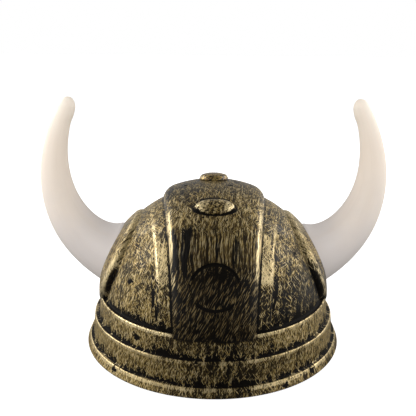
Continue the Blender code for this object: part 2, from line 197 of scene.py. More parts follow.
class StudioSettings(bpy.types.PropertyGroup):
    side_light: amount("Side lights", "Power of each tall side light in watts", 5.6, unit="POWER")
    horn_fill: amount("Horn fill", "Power in watts of the front light on the horns", 14.2, unit="POWER")
    side_wall: amount("Side walls", "Extra brightness of the surroundings at each side", 1.05)
    back_wall: amount("Back wall", "Extra brightness of the surroundings behind", 0.30)
    ambient: amount("Ambient", "Strength of the white surroundings", 0.15)
    glow: amount("Floor glow", "Glow that keeps the far floor white", 0.80)
    side_glow: amount("Side glow", "Light thrown up by the floor at each side", 0.7)
    floor: colour("Floor", "Colour of the plain floor", (0.86, 0.86, 0.86))
    bounce: colour("Floor bounce", "Colour of the floor as the helmet reflects it", (0.22, 0.22, 0.22))


# ---- shader graphs

def two_way(operation, swapped=False):
    """A method of Signal that joins it and another value in one Math node."""
    def method(self, other):
        return self.math(operation, *((other, self) if swapped else (self, other)))
    return method


class Signal:
    """A shader socket. Arithmetic on it adds Math nodes, and node() adds any other."""

    def __init__(self, tree, socket=None):
        self.tree = tree
        self.socket = socket

    def node(self, kind, settings=None, inputs=None, output=0):
        """Add a shader node, named without its prefix ShaderNode, and return one output."""
        made = self.tree.nodes.new("ShaderNode" + kind)
        for name, value in (settings or {}).items():
            setattr(made, name, value)
        for key, value in (inputs or {}).items():
            if isinstance(value, Signal):
                self.tree.links.new(value.socket, made.inputs[key])
            else:
                made.inputs[key].default_value = value
        return Signal(self.tree, made.outputs[output])

    def math(self, operation, *values, clamp=False):
        settings = {"operation": operation, "use_clamp": clamp}
        return self.node("Math", settings, dict(enumerate(values)))

    __add__ = __radd__ = two_way("ADD")
    __mul__ = __rmul__ = two_way("MULTIPLY")
    __sub__ = two_way("SUBTRACT")
    __rsub__ = two_way("SUBTRACT", swapped=True)
    __truediv__ = two_way("DIVIDE")
    __pow__ = two_way("POWER")
    least = two_way("MINIMUM")
    most = two_way("MAXIMUM")

    def __neg__(self):
        return self.math("MULTIPLY", self, -1.0)

    def __abs__(self):
        return self.math("ABSOLUTE", self)

    def clipped(self):
        return self.math("ADD", self, 0.0, clamp=True)

    def rise(self, low, high):
        """0 below low, 1 above high, with a smooth step between them."""
        return self.node("MapRange", {"interpolation_type": "SMOOTHSTEP"}, {0: self, 1: low, 2: high})

    def fall(self, low, high):
        """1 below low, 0 above high, with a smooth step between them."""
        return 1.0 - self.rise(low, high)

    def hump(self, low, high, soft):
        """1 between low and high, falling to 0 over the soft distance beyond them."""
        return self.rise(low - soft, low) * self.fall(high, high + soft)


def vector(x, y, z):
    """Join three numbers or signals into a vector signal."""
    tree = next(part.tree for part in (x, y, z) if isinstance(part, Signal))
    return Signal(tree).node("CombineXYZ", None, {0: x, 1: y, 2: z})


def split(source):
    """The three parts of a vector signal."""
    return [source.node("SeparateXYZ", None, {0: source}, output=axis) for axis in range(3)]


def place_in_mm(start):
    """The point that is shaded, in mm from the origin."""
    place = start.node("TexCoord", output="Object")
    return place.node("VectorMath", {"operation": "MULTIPLY"}, {0: place, 1: 3 * (1 / MM,)})


def moved(source, x, y, z):
    return source.node("VectorMath", {"operation": "ADD"}, {0: source, 1: (x, y, z)})


def mixed(factor, first, second):
    """Mix two colours, each a signal or three numbers."""
    def plain(value):
        return value if isinstance(value, Signal) else (*value, 1.0)
    return factor.node("Mix", {"data_type": "RGBA"},
                       {0: factor, 6: plain(first), 7: plain(second)}, output=2)


def blended(factor, first, second):
    """Mix two numbers or number signals."""
    return factor.node("Mix", {"data_type": "FLOAT"}, {0: factor, 2: first, 3: second})


def grain(place, scale, detail=2.0, roughness=0.55):
    """Plain noise between 0 and 1."""
    return place.node("TexNoise", None,
                      {"Vector": place, "Scale": scale, "Detail": detail, "Roughness": roughness})


def new_material(name, **fixed):
    """A Principled material with its even values set, and the start of its graph."""
    material = bpy.data.materials.new(name)
    material.use_nodes = True
    tree = material.node_tree
    shader = tree.nodes["Principled BSDF"]
    for socket, value in fixed.items():
        shader.inputs[socket.replace("_", " ")].default_value = value
    return material, Signal(tree), shader


def feed(shader, **signals):
    """Link signals to the sockets of a shader."""
    for socket, signal in signals.items():
        signal.tree.links.new(signal.socket, shader.inputs[socket.replace("_", " ")])


def relief(height, distance, strength=1.0):
    return height.node("Bump", None, {"Height": height, "Distance": distance, "Strength": strength})


# ---- mesh helpers

def in_scene(name, data):
    item = bpy.data.objects.new(name, data)
    bpy.context.scene.collection.objects.link(item)
    return item


def object_from(name, shape, slot=0):
    """Close a bmesh into a new object at the origin, with its faces pointing outwards."""
    bmesh.ops.remove_doubles(shape, verts=shape.verts, dist=WELD)
    bmesh.ops.recalc_face_normals(shape, faces=shape.faces)
    for face in shape.faces:
        face.material_index = slot
    mesh = bpy.data.meshes.new(name)
    shape.to_mesh(mesh)
    shape.free()
    for _ in range(2):
        mesh.materials.append(None)  # so that both slot numbers outlast the booleans
    return in_scene(name, mesh)


def combine(target, tool, operation):
    """Join to or cut from a target, and remove the tool."""
    boolean = target.modifiers.new(operation.lower(), "BOOLEAN")
    boolean.operation = operation
    boolean.solver = "EXACT"
    boolean.object = tool
    bpy.context.view_layer.update()
    evaluated = target.evaluated_get(bpy.context.evaluated_depsgraph_get())
    mesh = bpy.data.meshes.new_from_object(evaluated)
    target.modifiers.clear()
    target.data = mesh
    bpy.data.objects.remove(tool, do_unlink=True)


def spun(profile, steps):
    """A bmesh turned round Z from a profile of (radius, height)."""
    shape = bmesh.new()
    line = [shape.verts.new((radius, 0.0, height)) for radius, height in profile]
    edges = [shape.edges.new(pair) for pair in zip(line, line[1:])]
    bmesh.ops.spin(shape, geom=line + edges, axis=(0, 0, 1), cent=(0, 0, 0),
                   angle=2.0 * pi, steps=steps, use_merge=True)
    bmesh.ops.remove_doubles(shape, verts=shape.verts, dist=FINE_WELD)
    bmesh.ops.recalc_face_normals(shape, faces=shape.faces)
    return shape


def softened(corners, steps):
    """Round each corner of an open profile: a corner is (across, up, radius)."""
    points = [Vector(corners[0][:2])]
    for before, corner, after in zip(corners, corners[1:], corners[2:]):
        here = Vector(corner[:2])
        radius = corner[2]
        if radius <= 0.0:
            points.append(here)
            continue
        back = (Vector(before[:2]) - here).normalized()
        onward = (Vector(after[:2]) - here).normalized()
        half = back.angle(onward) / 2.0
        reach = radius / tan(half)
        start, end = here + back * reach, here + onward * reach
        centre = here + (back + onward).normalized() * (radius / sin(half))
        for step in range(steps + 1):
            spoke = (start - centre).lerp(end - centre, step / steps).normalized()
            points.append(centre + spoke * radius)
    points.append(Vector(corners[-1][:2]))
    return points


def thicken_towards(shape, ratio):
    """Give an open sheet a thickness by extruding it towards or away from the core."""
    sheet = list(shape.faces)
    extruded = bmesh.ops.extrude_face_region(shape, geom=sheet)["geom"]
    for vertex in extruded:
        if isinstance(vertex, bmesh.types.BMVert):
            vertex.co = CORE + (vertex.co - CORE) * ratio


def evenly(start, end, count):
    return [start + (end - start) * index / (count - 1) for index in range(count)]


def smooth_share(share):
    share = min(1.0, max(0.0, share))
    return share * share * (3.0 - 2.0 * share)


# ---- forms of the shell
# Each form is made twice: fine on the outside with inset 0, and coarser for the hollow.

def dome_sizes(half_width, top, change):
    """Half sizes of a dome form about the core, grown or shrunk by one change all over."""
    return (half_width + change, half_width * LENGTH_TO_WIDTH + change, top - CORE_HEIGHT + change)


def band_sizes(sizes, change=0.0):
    return dome_sizes(RIM_BANDS[0][1] + BAND_BEYOND_LEDGE, sizes.band_top, change)


def ellipsoid_point(base, direction, half_sizes):
    """Where a ray from base leaves the ellipsoid of these half sizes about the core."""
    scaled_base = Vector([(b - c) / s for b, c, s in zip(base, CORE, half_sizes)])
    scaled_ray = Vector([d / s for d, s in zip(direction, half_sizes)])
    a = scaled_ray.length_squared
    b = scaled_base.dot(scaled_ray)
    c = scaled_base.length_squared - 1.0
    return base + direction * ((-b + sqrt(b * b - a * c)) / a)


def arch_frame(angle, half_sizes):
    """A frame on the arch over the crown: X across, Z along the surface normal."""
    point = CORE + Vector((0.0, -half_sizes[1] * cos(angle), half_sizes[2] * sin(angle)))
    normal = Vector((0.0, -cos(angle) / half_sizes[1], sin(angle) / half_sizes[2]))
    turn = UP.rotation_difference(normal.normalized())
    return Matrix.Translation(point) @ turn.to_matrix().to_4x4()


def body_form(sizes, inset):
    """The dome and the stepped rim, turned and then drawn out to the oval plan."""
    fine = inset == 0.0
    reach = sizes.dome_half_width - inset
    rise = sizes.dome_top - CORE_HEIGHT - inset
    rows = 44 if fine else 16
    profile = [Vector((reach * cos(angle), CORE_HEIGHT + rise * sin(angle)))
               for angle in evenly(pi / 2, radians(4.0), rows)]
    profile[0].x = 0.0
    corners = [(*profile[-1], 0.0)]
    inner = reach
    for band, fillet in zip(RIM_BANDS, LEDGE_FILLETS):
        ledge_height, ledge_half_width, foot_height, foot_half_width = band
        corners.append((inner, ledge_height - inset, fillet if fine else fillet + 0.5 * MM))
        corners.append((ledge_half_width - inset, ledge_height - inset, LEDGE_ROUND if fine else 0.5 * MM))
        inner = foot_half_width - inset
        if fine and foot_height > 0.0:
            middle = (ledge_half_width + foot_half_width) / 2.0
            corners.append((middle, (ledge_height + foot_height) / 2.0, 0.0))
    corners.append((inner, 0.0, LIP_ROUND if fine else 0.0))
    if not fine:
        corners.append((inner, -CUT_THROUGH, 0.0))
    bottom = 0.0 if fine else -CUT_THROUGH
    corners.append((inner - 3.0 * MM, bottom, 0.0))
    profile += softened(corners, 6 if fine else 2)[1:]
    profile.append(Vector((0.0, bottom)))
    shape = spun(profile, 252 if fine else 120)
    for vertex in shape.verts:
        on_rim = smooth_share((vertex.co.xy.length + inset - RIM_FLARE_FROM) / RIM_FLARE_OVER)
        vertex.co.y *= LENGTH_TO_WIDTH * (1.0 - RIM_FLARE * on_rim)
    return object_from("body_form", shape, 0 if fine else 1)


def band_half_width(angle):
    """Half-width of the centre band along its arch, widest over the crown."""
    foot, crown = BAND_HALF_WIDTHS
    return foot + (crown - foot) * (1.0 - min(1.0, abs(cos(angle))) ** BAND_WIDENING)


def crown_fade(angle):
    """0 on the lower front and back, rising smoothly to 1 over the crown."""
    low, high = (sin(limit) for limit in STRIP_FADE)
    return smooth_share((sin(angle) - low) / (high - low))


# name, half sizes of the face, width beyond the centre band, drop and width of the rounded
# edge, depth of the hidden skirt, and how far the face sinks over the crown
PlateSpec = namedtuple("PlateSpec", "name half_sizes extra_width edge_round shoulder skirt crown_sink")


def arched_plate(plate, inset):
    """A plate over the crown from front to back, with rounded long edges."""
    fine = inset == 0.0
    bend = max(plate.edge_round - inset, PLATE_LEAST_ROUND)
    shoulder = max(plate.shoulder - inset, PLATE_LEAST_ROUND)
    flat_columns = 12 if fine else 3
    flat_shares = evenly(0.0, 1.0, flat_columns + 1)[:-1]
    roll_angles = evenly(0.0, pi / 2, 10 if fine else 4)
    columns = len(flat_shares) + len(roll_angles) + 1
    end_dip = radians(9.0)
    shape = bmesh.new()
    bmesh.ops.create_grid(shape, x_segments=2 * (columns - 1), y_segments=168 if fine else 60, size=1.0)
    for vertex in shape.verts:
        column = round(abs(vertex.co.x) * (columns - 1))
        side = copysign(1.0, vertex.co.x)
        angle = -end_dip + (pi + 2.0 * end_dip) * (vertex.co.y + 1.0) / 2.0
        half_width = band_half_width(angle) + plate.extra_width - inset
        if column < flat_columns:
            across, drop = flat_shares[column] * (half_width - shoulder), 0.0
        elif column < columns - 1:
            roll_angle = roll_angles[column - flat_columns]
            across = half_width - shoulder + shoulder * sin(roll_angle)
            drop = bend * (1.0 - cos(roll_angle))
        else:
            across, drop = half_width, plate.skirt
        drop += plate.crown_sink * crown_fade(angle)
        a, b, c = (size - drop for size in plate.half_sizes)
        shrink = sqrt(1.0 - (across / a) ** 2)
        vertex.co = CORE + Vector((side * across, -b * shrink * cos(angle),
                                   c * shrink * sin(angle)))
    thicken_towards(shape, 0.85)
    return object_from(plate.name, shape, 0 if fine else 1)


def centre_band_form(sizes, inset):
    plate = PlateSpec("centre_band_form", band_sizes(sizes, -inset), 0.0,
                      BAND_EDGE_ROUND, BAND_SHOULDER, BAND_SKIRT, 0.0)
    return arched_plate(plate, inset)


def strip_form(sizes, inset):
    half_sizes = dome_sizes(sizes.dome_half_width, sizes.dome_top, STRIP_RAISE - inset)
    plate = PlateSpec("strip_form", half_sizes, STRIP_WIDTH,
                      STRIP_RAISE, STRIP_SHOULDER, STRIP_SKIRT, STRIP_RAISE + STRIP_SINK)
    return arched_plate(plate, inset)


def pad_form(side, inset):
    """A round pad: a polar sheet laid on its own flatter face and thickened inwards."""
    fine = inset == 0.0
    axis = Vector((side * cos(PAD_TILT), 0.0, sin(PAD_TILT)))
    upward = Vector((-side * sin(PAD_TILT), 0.0, cos(PAD_TILT)))
    centre = Vector((0.0, 0.0, PAD_AXIS_HEIGHT))
    bend = max(PAD_EDGE_ROUND - inset, PAD_LEAST_ROUND)
    face = [size - inset for size in PAD_FACE]
    flat_rings = 10 if fine else 3
    rings = [(share, 0.0) for share in evenly(0.0, 1.0, flat_rings + 1)[:-1]]
    rings += [(1.0, angle) for angle in evenly(0.0, pi / 2, 9 if fine else 4)]
    shape = spun([(index / len(rings), 0.0) for index in range(len(rings) + 1)], 120 if fine else 60)
    for vertex in shape.verts:
        ring = round(vertex.co.length * len(rings))
        turn = atan2(vertex.co.y, vertex.co.x)
        if ring == len(rings):
            scale, pulled_in, drop = 1.0, 0.0, PAD_SKIRT
        else:
            scale, roll_angle = rings[ring]
            pulled_in = bend * (1.0 - sin(roll_angle))
            drop = bend * (1.0 - cos(roll_angle))
        base = (centre
                + BACK * (scale * (PAD_HALF_SIZES[0] - inset - pulled_in) * cos(turn))
                + upward * (scale * (PAD_HALF_SIZES[1] - inset - pulled_in) * sin(turn)))
        vertex.co = ellipsoid_point(base, axis, face) - axis * drop
    thicken_towards(shape, 0.8)
    return object_from("pad_form", shape, 0 if fine else 1)


def shell_form(sizes, inset):
    """Everything that the shell's wall follows, as one closed solid."""
    form = body_form(sizes, inset)
    combine(form, strip_form(sizes, inset), "UNION")
    combine(form, centre_band_form(sizes, inset), "UNION")
    for side in SIDES:
        combine(form, pad_form(side, inset), "UNION")
    return form


def waved(item, depth):
    """Let the outside wander inwards a little, as thin moulded plastic does."""
    shape = bmesh.new()
    shape.from_mesh(item.data)
    shape.normal_update()
    for vertex in shape.verts:
        share = 0.5 + 0.5 * noise.noise(vertex.co / WAVE_LENGTH)
        vertex.co -= vertex.normal * (depth * share * smooth_share(vertex.co.z / (8.0 * MM)))
    shape.to_mesh(item.data)
    shape.free()


def boss_form(sizes):
    """The oval boss, a flattened ball half sunk in the centre band."""
    shape = bmesh.new()
    bmesh.ops.create_uvsphere(shape, u_segments=72, v_segments=32, radius=1.0)
    place = arch_frame(BOSS_ARCH_ANGLE, band_sizes(sizes)) @ Matrix.Diagonal((*BOSS_HALF_SIZES, 1.0))
    bmesh.ops.transform(shape, matrix=place, verts=shape.verts)
    return object_from("boss_form", shape)


def disc_cutter(sizes):
    """Cutter for the plain disc: its floor follows the band at an even depth."""
    floor = band_sizes(sizes, -DISC_DEPTH)
    place = arch_frame(DISC_ARCH_ANGLE, band_sizes(sizes))
    axis = (place.to_3x3() @ UP).normalized()
    shape = spun([(DISC_RADIUS * share, 0.0) for share in evenly(0.0, 1.0, 9)], 96)
    for vertex in shape.verts:
        start = place @ (vertex.co - Vector((0.0, 0.0, 20.0 * MM)))
        vertex.co = ellipsoid_point(start, axis, floor)
    thicken_towards(shape, 1.06)
    return object_from("disc_cutter", shape)


def on_crown(name, shape, sizes):
    """Make an object of a bmesh, standing where the button goes."""
    bmesh.ops.transform(shape, matrix=arch_frame(BUTTON_ARCH_ANGLE, band_sizes(sizes)), verts=shape.verts)
    return object_from(name, shape)


def button_cutter(sizes):
    """Cutter for the button's seat and for the hole its shank goes through."""
    seat, hole = BUTTON_RADIUS + CLEARANCE, SHANK_RADIUS + CLEARANCE
    shape = spun([(0.0, CUT_THROUGH), (seat, CUT_THROUGH), (seat, -BUTTON_SEAT_DEPTH),
                  (hole, -BUTTON_SEAT_DEPTH), (hole, -2.0 * CUT_THROUGH), (0.0, -2.0 * CUT_THROUGH)], 64)
    return on_crown("button_cutter", shape, sizes)


# ---- horns

def horn_radius(sizes, along):
    """Radius of a horn's form at a distance along its centreline, before the trim."""
    outside = max(along, 0.0)
    radius = sizes.horn_root_radius - HORN_TAPER * outside
    radius += HORN_FLARE * exp(-outside / HORN_FLARE_LENGTH)
    radius += HORN_FULLNESS * max(outside - HORN_FULL_FROM, 0.0) ** 2
    past = max(along - (sizes.horn_length - HORN_TIP_ROUND), 0.0) / HORN_TIP_ROUND
    return radius * sqrt(max(1.0 - past ** 2, 0.0))


def horn_direction(along):
    outside = max(along, 0.0)
    angle = HORN_START_ANGLE + HORN_TURN_PER_METRE * outside - HORN_TURN_FADE * outside ** 2
    return cos(angle), sin(angle)


def horn_frame(along, side):
    """A frame on the centreline: X in the horn's plane, Y to the back, Z along the horn."""
    x, z = HORN_ROOT
    across, upward = horn_direction(along)
    if along <= 0.0:
        x, z = x + across * along, z + upward * along
    else:
        steps = 120
        step = along / steps
        for index in range(steps):
            step_across, step_upward = horn_direction((index + 0.5) * step)
            x += step_across * step
            z += step_upward * step
    onward = Vector((side * across, 0.0, upward))
    turn = Matrix((BACK.cross(onward), BACK, onward)).transposed().to_4x4()
    return Matrix.Translation((side * x, 0.0, z)) @ turn


def horn_tube(side, stations, segments, nub=None):
    """Lay rings of (distance along, radius) on the centreline and skin them, as a bmesh.

    Each vertex keeps its distance along, and how far round it is from the inner side (-1)
    to the outer side (1). A nub is a (place, height) swelling on the inner side.
    """
    shape = bmesh.new()
    along_layer = shape.verts.layers.float.new("along")
    outward_layer = shape.verts.layers.float.new("outward")
    ring = bmesh.ops.create_circle(shape, segments=segments, radius=1.0, cap_ends=False)["verts"]
    flat = [vertex.co.copy() for vertex in ring]
    edges = list(shape.edges)
    for index, (along, radius) in enumerate(stations):
        if index:
            made = bmesh.ops.extrude_edge_only(shape, edges=edges)["geom"]
            ring = [item for item in made if isinstance(item, bmesh.types.BMVert)]
            edges = [item for item in made if isinstance(item, bmesh.types.BMEdge)]
        place = horn_frame(along, side)
        for vertex, spoke in zip(ring, flat):
            outward = side * spoke.x
            raised = 0.0
            if nub and index > len(stations) // 3:
                raised = nub[1] * max(0.0, -outward) ** 2 * exp(-((along - nub[0]) / NUB_LENGTH) ** 2)
            vertex.co = place @ (spoke * max(radius + raised, FINE_WELD))
            vertex[along_layer] = along
            vertex[outward_layer] = outward
    return shape


def horn_hole(sizes, side):
    stations = [(along, horn_radius(sizes, along) + CLEARANCE)
                for along in [-16.0 * MM] + evenly(0.0, 20.0 * MM, 9)]
    shape = horn_tube(side, stations, 96)
    bmesh.ops.holes_fill(shape, edges=[edge for edge in shape.edges if edge.is_boundary], sides=0)
    return object_from("horn_hole", shape)


def horn_shape(sizes, side):
    """One closed skin: down the bore from its end, round the flange, and out to the tip."""
    def bore(along):
        return along, horn_radius(sizes, along) - HORN_WALL
    flange_top = HORN_NECK_START + FLANGE_THICKNESS
    tip_start = sizes.horn_length - HORN_TIP_ROUND
    end = horn_radius(sizes, HORN_BORE_END) - HORN_WALL
    stations = [(HORN_BORE_END, 0.0), (HORN_BORE_END, 0.5 * end), (HORN_BORE_END, 0.9 * end)]
    stations += [bore(along) for along in evenly(HORN_BORE_END - 0.4 * MM, HORN_NECK_START, 26)]
    stations += [(HORN_NECK_START, FLANGE_RADIUS - FLANGE_BEVEL),
                 (HORN_NECK_START + FLANGE_BEVEL, FLANGE_RADIUS),
                 (flange_top - FLANGE_BEVEL, FLANGE_RADIUS),
                 (flange_top, FLANGE_RADIUS - FLANGE_BEVEL)]
    outside = evenly(flange_top, tip_start, 96)
    outside += [tip_start + HORN_TIP_ROUND * sin(angle)
                for angle in evenly(radians(8.0), pi / 2, 11)]
    stations += [(along, horn_radius(sizes, along) - HORN_TRIM * smooth_share(along / HORN_TRIM_LENGTH))
                 for along in outside]
    return horn_tube(side, stations, 72, nub=(sizes.horn_length - NUB_BELOW_TIP, NUB_HEIGHT))


# ---- materials

def root(signal):
    return signal.math("SQRT", signal)


def arch_place(x, y, z, sizes):
    """Distance along the arch over the crown, in mm, and the cosine of its angle."""
    _, half_length, rise = band_sizes(sizes)
    forward = -y / (half_length / MM)
    upward = (z - CORE_HEIGHT / MM) / (rise / MM)
    angle = upward.math("ARCTAN2", upward, forward)
    reach = root(forward * forward + upward * upward)
    return angle * ARCH_MM, abs(forward / reach.most(0.001)).least(1.0)


def dashes(place, lean, width, run, seed):
    """Short brush strokes that lean from the upright by an angle in degrees; sizes in mm."""
    u, v, w = place
    cosine, sine = cos(radians(lean)), sin(radians(lean))
    across, down = (u * cosine - v * sine) / (2.0 * width), (v * cosine + u * sine) / (2.0 * run)
    return grain(vector(across, down, w + seed), 1.0, 1.0, 0.4)


def hatch(place, crossing, seed):
    """Three crossed sets of fine strokes, the last of them leaning by the crossing angle."""
    first = dashes(place, -30.0, 0.31, 3.2, seed)
    second = dashes(place, 6.0, 0.32, 4.4, seed + 4.0) - 0.01
    third = dashes(place, crossing, 0.31, 2.8, seed + 8.0) - 0.02
    return first.most(second).most(third) - 0.05


def aged_gold(sizes, colours):
    """Black gloss plastic dry-brushed with antique gold, the paint wearing light along the raised edges, with
    painted highlights, a painted reflection and painted shadows.

    The order of these lines matters: with too many signals waiting to be used at once, Cycles
    runs out of room and renders the shell black.
    """
    material, start, shader = new_material("aged_gold_brushed", Specular_IOR_Level=0.10, Coat_Roughness=0.14)
    place = place_in_mm(start)
    x, y, z = split(place)
    along, arch_cosine = arch_place(x, y, z, sizes)
    side = abs(x)
    around = x.math("ARCTAN2", x, abs(y) / LENGTH_TO_WIDTH) * AROUND_MM

    # Where the raised forms begin and end, in mm
    foot, crown = (width / MM for width in BAND_HALF_WIDTHS)
    past_band = side - (crown - (crown - foot) * arch_cosine ** BAND_WIDENING)
    past_strip = past_band - STRIP_WIDTH / MM
    above_seat = z - CORE_HEIGHT / MM
    on_dome = above_seat.rise(*AT_STEP)
    on_band = past_band.fall(*AT_STEP) * above_seat.rise(-5.0, -2.0)
    pad_height = (z - PAD_AXIS_HEIGHT / MM - side * tan(PAD_TILT)) * cos(PAD_TILT)
    past_pad = (root((y / (PAD_HALF_SIZES[0] / MM)) ** 2.0
                     + (pad_height / (PAD_HALF_SIZES[1] / MM)) ** 2.0) - 1.0) * PAD_MM
    at_side = side.rise(52.0, 58.0)
    boss_up = along - BOSS_ARCH_ANGLE * ARCH_MM
    boss_reach = root((x / (BOSS_HALF_SIZES[0] / MM)) ** 2.0 + (boss_up / (BOSS_HALF_SIZES[1] / MM)) ** 2.0)
    disc_up = along - DISC_ARCH_ANGLE * ARCH_MM
    past_disc = root(x * x + disc_up * disc_up) - DISC_RADIUS / MM
    in_disc = past_disc.fall(-4.0, 0.6)

    # Brush strokes: upright, leaning and crossed, on the arch and round the sides
    sway = grain(place, 0.06, 1.0) * 3.0
    arch = (x + sway, along + sway, y * 0.01)
    wall = (around + sway, z + sway, y * 0.02)
    dabs = grain(place, 0.62, 3.0, 0.65)
    long_strokes = dashes(arch, 0.0, 0.35, 11.0, 1.0).most(dashes(arch, 4.0, 0.35, 7.0, 5.0) - 0.04)
    slant_strokes = dashes(arch, 27.0, 0.36, 4.6, 9.0).most(dashes(arch, 14.0, 0.36, 4.6, 13.0) - 0.04)
    arch_hatch = hatch(arch, 40.0, 17.0)
    wall_hatch = hatch(wall, 38.0, 29.0)
    patches = grain(moved(place, 40.0, 13.0, 7.0), 0.030, 2.0, 0.6)
    broad = dashes(arch, 3.0, 2.4, 14.0, 41.0)
    broad_wall = dashes(wall, 6.0, 2.4, 9.0, 45.0)

    low_band = on_band * along.fall(34.0, 66.0)
    thin = on_band * along.fall(24.0, 108.0) * 0.66
    crown_area = along.hump(92.0, 205.0, 24.0)
    panel = blended(side.rise(*TO_SIDES), arch_hatch, wall_hatch)
    band = blended(low_band, long_strokes, slant_strokes)
    band = blended(crown_area * 0.8, band, arch_hatch)
    stroke = blended(on_band, panel, band)
    stroke = blended(on_dome.most(on_band), wall_hatch * 0.8 + dabs * 0.2, stroke)
    on_boss = boss_reach.fall(0.96, 1.02)
    stroke = blended(on_boss, stroke * 0.93 + dabs * 0.07, dabs)
    broad = blended(on_dome.most(on_band) * side.fall(*TO_SIDES), broad_wall, broad)

    # Raised edges take more paint and recesses none; these masks also carry painted highlights and painted
    # shadows
    arch_low = along.least(pi * ARCH_MM - along)
    # Painted highlight: the rounded edges of the band and strips are lit up only over this stretch of the
    # arch, where the side lights reflect, and less on the right.
    highlight_span = arch_low.hump(46.0, 98.0, 14.0)
    edges = past_band.hump(-2.8, -0.9, 1.2) * (highlight_span * 0.7 + 0.1)
    strip_edge = past_strip.hump(-1.9, -0.5, 0.8) * on_dome * (highlight_span * 0.8 + 0.2)
    edges = edges.most(strip_edge * (1.0 - x.rise(10.0, 30.0) * 0.6))
    unpainted_and_shadow = past_band.hump(0.2, 0.7, 0.9) * on_dome * (0.25 + broad * 0.5)
    unpainted_and_shadow = unpainted_and_shadow * (1.0 - arch_low.rise(44.0, 70.0) * 0.7)
    low_streaks = dashes(arch, 2.0, 1.2, 9.0, 53.0).rise(0.48, 0.60)
    foot_groove = past_strip.hump(-0.5, 3.0, 1.6) * on_dome * above_seat.fall(14.0, 40.0)
    unpainted_and_shadow = unpainted_and_shadow.most(foot_groove * low_streaks)
    for index, rim_band in enumerate(RIM_BANDS):
        below = rim_band[0] / MM - z
        if index == 0:
            clear, reach = past_band.rise(-0.5, 0.5), 4.4
            bright = side.hump(31.0, 70.0, 9.0) * (1.0 - x.rise(20.0, 40.0) * 0.5)
        else:
            clear, reach = 1.0, 2.6
            bright = side.rise(16.0, 50.0) * (0.6 - x.rise(10.0, 40.0) * 0.25)
        # Painted highlight: bright lifts the ledges' edges where the side lights reflect in them, most
        # towards the front corners; the rest is paint wearing light.
        ledge_edge = below.hump(0.1, 2.1, 0.8) * clear
        edges = edges.most(ledge_edge * (broad.rise(0.40, 0.60) * 0.5 + 0.1).most(bright))
        ragged = (stroke - 0.5) * 26.0 + (broad - 0.5) * 14.0 - below
        unpainted_and_shadow = unpainted_and_shadow.most(ragged.fall(reach, reach + 2.0) * below.fall(0.0, 0.3)
                               * below.rise(-14.0, -8.0) * clear)
    # The pad's rounded edge takes more paint and a painted highlight, less of both high up; the groove at the
    # pad's foot is darkened most low down as a painted shadow.
    pad_edge = past_pad.hump(-4.2, -0.8, 1.6) * at_side
    edges = edges.most(pad_edge * (0.85 - above_seat.rise(*DOME_HIGH) * 0.45))
    ragged = past_pad + (stroke - 0.5) * 8.0
    pad_groove_and_shadow = ragged.hump(0.4, 1.0, 1.8) * at_side * on_dome * above_seat.hump(14.0, 22.0, 16.0)
    unpainted_and_shadow = unpainted_and_shadow.most(pad_groove_and_shadow * 0.6)
    # Painted highlight on the two ends of the boss.
    edges = edges.most(on_boss * side.rise(3.0, 12.0))
    unpainted_and_shadow = unpainted_and_shadow.most(boss_reach.hump(1.0, 1.08, 0.10) * (1.0 - boss_up.rise(-4.0, 0.5) * 0.9))
    # Painted shadow on the band just above the boss.
    boss_shadow = boss_reach.hump(1.0, 1.28, 0.3) * boss_up.rise(2.0, 7.0) * side.fall(5.0, 14.0)
    unpainted_and_shadow = unpainted_and_shadow.most(boss_shadow * 0.5)
    # Painted shade on the disc's rim, strongest on the upper arc and weaker at the bottom.
    disc_rim_shade = past_disc.hump(-1.5, 0.3, 0.6)
    unpainted_and_shadow = unpainted_and_shadow.most(disc_rim_shade * (disc_up.rise(2.0, 13.0) * 0.9 + (-disc_up).rise(10.0, 15.0) * 0.5))

    # Bare black: streaks down the front of the band, and chips in the rim's paint
    streaks = dashes(arch, 0.0, 1.5, 13.0, 61.0).rise(0.44, 0.54)
    bare = (x + 24.5).hump(-8.0, 6.5, 3.0) * along.hump(54.0, 78.0, 12.0)
    bare = bare.most((x - 14.5).hump(-1.5, 2.0, 2.0) * along.hump(58.0, 76.0, 10.0) * 0.5)
    bare = bare.most((x - 1.5).hump(-0.8, 0.8, 1.2) * along.hump(62.0, 70.0, 5.0) * 0.6)
    bare = bare * streaks * on_band
    ragged = (grain(place, 0.30, 3.0, 0.6) - 0.5) * 8.0
    chips = grain(moved(place, 9.0, 80.0, 4.0), 0.13, 2.0, 0.5).rise(0.700, 0.715)
    for round_rim, height, radius in RIM_CHIPS:
        reach = root((around - round_rim) ** 2.0 + (z - height) ** 2.0) + ragged
        chips = chips.most(reach.fall(radius - 0.2, radius + 0.4) * y.fall(-9.0, 0.0))
    unpainted_and_shadow = unpainted_and_shadow.most(chips)

    # How much gold each place has taken, with painted highlights and a painted reflection added as more gold
    cover = 0.42 + (patches - 0.5) * 0.26 + (broad - 0.5) * blended(on_band, 0.42, 0.30)
    cover += side.rise(28.0, 56.0) * 0.10
    cover -= bare * 0.36
    cover += on_boss * 0.06
    cover -= (low_band * 0.13).most(in_disc * 0.16)
    # Less gold on the front of the right panel, so that it is darker there.
    less_gold_right_front = x.rise(26.0, 48.0) * y.fall(-30.0, 0.0) * on_dome * (1.0 - above_seat.rise(*DOME_HIGH) * 0.6)
